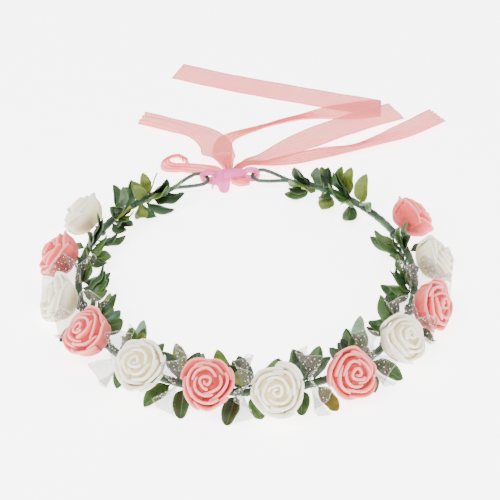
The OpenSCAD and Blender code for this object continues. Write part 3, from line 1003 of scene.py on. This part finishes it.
def left_of(centre):
    along = np.gradient(centre, axis=0)
    along /= np.linalg.norm(along, axis=1, keepdims=True)
    return np.stack([-along[:, 1], along[:, 0]], axis=-1)


def distance_along(centre):
    return np.concatenate([[0], np.cumsum(np.linalg.norm(np.diff(centre, axis=0), axis=1))])


def set_ribbon_map(piece, along, columns):
    across, along = np.meshgrid(np.linspace(0, 1, columns), along)
    set_map(piece, "ribbon", np.stack([along, across], axis=-1).reshape(-1, 2))


def strip(name, points, height, pleats, waves, finish, seed, side=None, lift=0):
    """A ribbon along a route's points, gathered into pleats where its share of the width is small.

    side points to its left, and lift is how much higher its right edge is than its left one."""
    centre = points[:, :2]
    side = left_of(centre) if side is None else side
    random = np.random.default_rng(seed)
    length = distance_along(centre) * MM
    u = np.linspace(-0.5, 0.5, ACROSS)[None, :]
    share = np.clip(points[:, 2], 0.12, 1)[:, None]
    deep = RIBBON_WIDTH * np.sqrt(1 - share ** 2) / (2 * np.pi * pleats) * 1.6
    phase = random.uniform(0, 6)
    s = length[:, None]
    ripple = deep * np.sin(2 * np.pi * pleats * u + phase + 60 * s + 0.7 * np.sin(95 * s))
    broad = waves * (0.5 + 0.5 * np.sin(75 * s + 3.1 * u + phase))
    broad = broad * (0.4 + 0.6 * np.cos(np.pi * u) ** 2)
    fine = 0.1 * MM * np.sin(230 * s + 9 * u + phase)
    z = np.asarray(height)[:, None] + np.abs(ripple) * 0.35 + ripple * 0.65 + broad + fine
    z = z - np.reshape(lift, (-1, 1)) * u
    z = np.maximum(z, LYING - 0.1 * MM)
    offset = u * share * RIBBON_WIDTH
    x = centre[:, :1] * MM + side[:, :1] * offset
    y = centre[:, 1:] * MM + side[:, 1:] * offset
    piece = new_piece(name, moved(grid_points(x, y, z), at_tie()), grid_faces(len(centre), ACROSS), finish)
    set_ribbon_map(piece, length / RIBBON_WIDTH, ACROSS)
    return thicken(piece, RIBBON_THICKNESS, rounds=0), float(length[-1])


def falling(centre, level, arch):
    """Height of a ribbon end that leaves the knot, may arch up and then lies on its layer."""
    length = distance_along(centre)
    down = smoothstep(0, 22, length)
    lying = (-0.5 * MM) * (1 - down) + (LYING + level * LAYER) * down
    return lying + arch * np.exp(-((length - 15) / 9) ** 2)


def make_end(finish, name, body, route, level, arch, pleats, waves, below, seed):
    start = [(route[0][0] * 0.4, 0, route[0][2])]
    points = on_route(start + route)
    height = falling(points[:, :2], level, arch)
    piece, length = strip(name, points, height, pleats, waves, finish, seed)
    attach(piece, body)
    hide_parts(f"ribbon_{body}")


def make_long_tail(finish):
    """The longest end: out to the right, folded over itself and back to the left."""
    out = on_route([(0, 0, 0.25)] + LONG_TAIL_OUT)
    back = on_route(LONG_TAIL_BACK)
    side = np.vstack([left_of(out[:, :2]), -left_of(back[:, :2])])
    fold = len(out)
    crease = side[fold - 1] + side[fold]
    crease /= np.linalg.norm(crease)
    for k in range(-FOLD_BLEND, FOLD_BLEND):
        near = (FOLD_BLEND - abs(k + 0.5)) / FOLD_BLEND
        blended = side[fold + k] * (1 - near) + crease * near
        side[fold + k] = blended / np.linalg.norm(blended)
    height = np.concatenate([falling(out[:, :2], level=0, arch=5 * MM), np.full(len(back), LYING + LAYER)])
    piece, length = strip("ribbon_long_end", np.vstack([out, back]), height, 4, 0.35 * MM, finish,
                          seed=71, side=side)
    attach(piece, "long_tail")
    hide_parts("ribbon_long_tail")


def small_strip(name, points, top, bottom, pleats, waves, finish, seed):
    """A short ribbon that moves with the knot."""
    height = np.linspace(top, bottom, len(points)) * MM
    piece, length = strip(name, points, height, pleats, waves, finish, seed)
    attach(piece, "ribbon")


def make_knot(finish):
    """The knot: the ribbon wound twice round itself between the eyes, in diagonal pleats."""
    u, v = spans(-1, KNOT_ACROSS, KNOT_STEPS)
    angle = 2 * np.pi * KNOT_TURNS * v + 0.35 * u
    base = (2.4 + 1.35 * v) * MM
    swell = np.sqrt(np.clip(1 - (np.abs(u) / 1.08) ** 3.4, 0.03, 1))
    pleat = 0.30 * MM * np.sin(7 * angle + 1.6 * u) + 0.14 * MM * np.sin(15 * angle - 2.5 * u)
    band = 0.35 * MM * np.exp(-((u - 0.12 + 0.06 * np.sin(angle)) / 0.2) ** 4)
    r = (base + pleat * (0.55 + 0.45 * np.abs(u))) * swell + band * v + 0.3 * MM
    x = KNOT_HALF * (u + 0.03 * np.sin(angle))
    points = grid_points(x, r * np.cos(angle), r * np.sin(angle))
    faces = grid_faces(KNOT_STEPS, KNOT_ACROSS)
    knot = new_piece("ribbon_wound_knot", moved(points, at_tie()), faces, finish)
    set_ribbon_map(knot, np.linspace(0, 2, KNOT_STEPS), KNOT_ACROSS)
    knot = thicken(knot, RIBBON_THICKNESS, rounds=0)
    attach(knot, "ribbon")
    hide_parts("ribbon_knot")
    small_strip("ribbon_front_flap", on_route(FLAP), 0.8, -2.6, 1, 0.3 * MM, finish, seed=8)


def make_eye_turn(label, side, finish):
    """The gathered ribbon's turn round the tip of an eye, with pleats along it."""
    a = np.linspace(0, 2 * np.pi, TURN_STEPS, endpoint=False)[:, None]
    b = np.linspace(0, 2 * np.pi, TURN_SIDES, endpoint=False)[None, :]
    r = TURN_SECTION * (1 + 0.15 * np.sin(7 * b + 2 * a) + 0.06 * np.sin(3 * b - 4 * a))
    ring = TURN_RADIUS + 0.75 * r * np.cos(b)
    x = 1.45 * ring * np.cos(a) + side * (TIP_X - 1.3 * MM)
    y = 3.0 * r * np.sin(b) * (1 + 0.15 * np.cos(a + 0.6))
    points = grid_points(x, y, ring * np.sin(a))
    faces = []
    for i in range(TURN_STEPS):
        here, there = i * TURN_SIDES, (i + 1) % TURN_STEPS * TURN_SIDES
        for j in range(TURN_SIDES):
            after = (j + 1) % TURN_SIDES
            faces.append((here + j, there + j, there + after, here + after))
    piece = new_piece(f"ribbon_turn_{label}", moved(points, at_tie()), faces, finish)
    set_ribbon_map(piece, np.linspace(0, 1, TURN_STEPS), TURN_SIDES)
    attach(piece, "crown")
    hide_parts(f"ribbon_{label}_loop")


def make_small_loop(finish):
    """A short length beside the knot that curls round into a small open loop."""
    curl = [(-32 + 6.4 * math.cos(a), 21.5 + 5.2 * math.sin(a), 0.3)
            for a in np.radians([-100, -160, -220, -280, -330, -385])]
    points = on_route(SMALL_LOOP_ROOT + curl)
    t = np.linspace(0, 1, len(points))
    height = (-1.0 + (LYING / MM + 3.2) * smoothstep(0, 0.3, t) + 1.2 * smoothstep(0.5, 0.9, t)) * MM
    loop, length = strip("ribbon_small_loop", points, height, 3, 0.2 * MM, finish, seed=5,
                         lift=5.5 * MM * smoothstep(0.3, 0.6, t))
    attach(loop, "ribbon")
    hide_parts("ribbon_ear")


# ---- floor

def make_floor(finish):
    corners = [(x * FLOOR_REACH, y * FLOOR_REACH, TABLE) for x, y in ((-1, -1), (1, -1), (1, 1), (-1, 1))]
    new_piece("floor", corners, [(0, 1, 2, 3)], finish, smooth=False)


# ---- assembly

make_camera()

wire_finish = coated_wire()
tape_finish = floral_tape()
# Foam colours: painted shade down in the folds, middle colour, painted highlight along the rims
pink_foam = foam("pink foam", "#b82629", "#ea5450", "#fc9691")
white_foam = foam("ivory foam", "#d6c48c", "#f7eed6", "#fdf8ea")
leaf_finish = leaf_green()
twig_finish = stem_brown()
net_finish = tulle()
dot_finish = white_dot()
ribbon_finish = organza("peach organza", "#ff8476", "#ff6a70", 0.68)
knot_finish = organza("gathered organza", "#ff74b8", "#fb4fb0", 0.78)

tube = tube_shape()
make_wire(tube, wire_finish)
make_tape(tube, tape_finish)
make_bindings(tube, tape_finish)
for slot in bpy.data.objects["rose_stems"].material_slots:
    slot.material = wire_finish
for index in range(ROSE_COUNT):
    make_rose(index, pink_foam if index % 2 else white_foam)
make_leaves(leaf_shape(), tube, leaf_finish, twig_finish)
dots = dot_shape()
for number in range(2, ROSE_COUNT - 1):
    make_ruffle(number, dots, net_finish, dot_finish)

make_knot(knot_finish)
for label, side in (("left", -1), ("right", 1)):
    make_eye_turn(label, side, knot_finish)
small_strip("ribbon_side_fold", on_route(SIDE_FOLD), -1.2, -3.2, 2, 0.2 * MM, ribbon_finish, seed=9)
make_small_loop(ribbon_finish)
make_long_tail(ribbon_finish)
for row in RIBBON_ENDS:
    make_end(ribbon_finish, *row)

make_floor(pale_floor())
for light in LIGHTS:
    make_light(*light)
make_world()
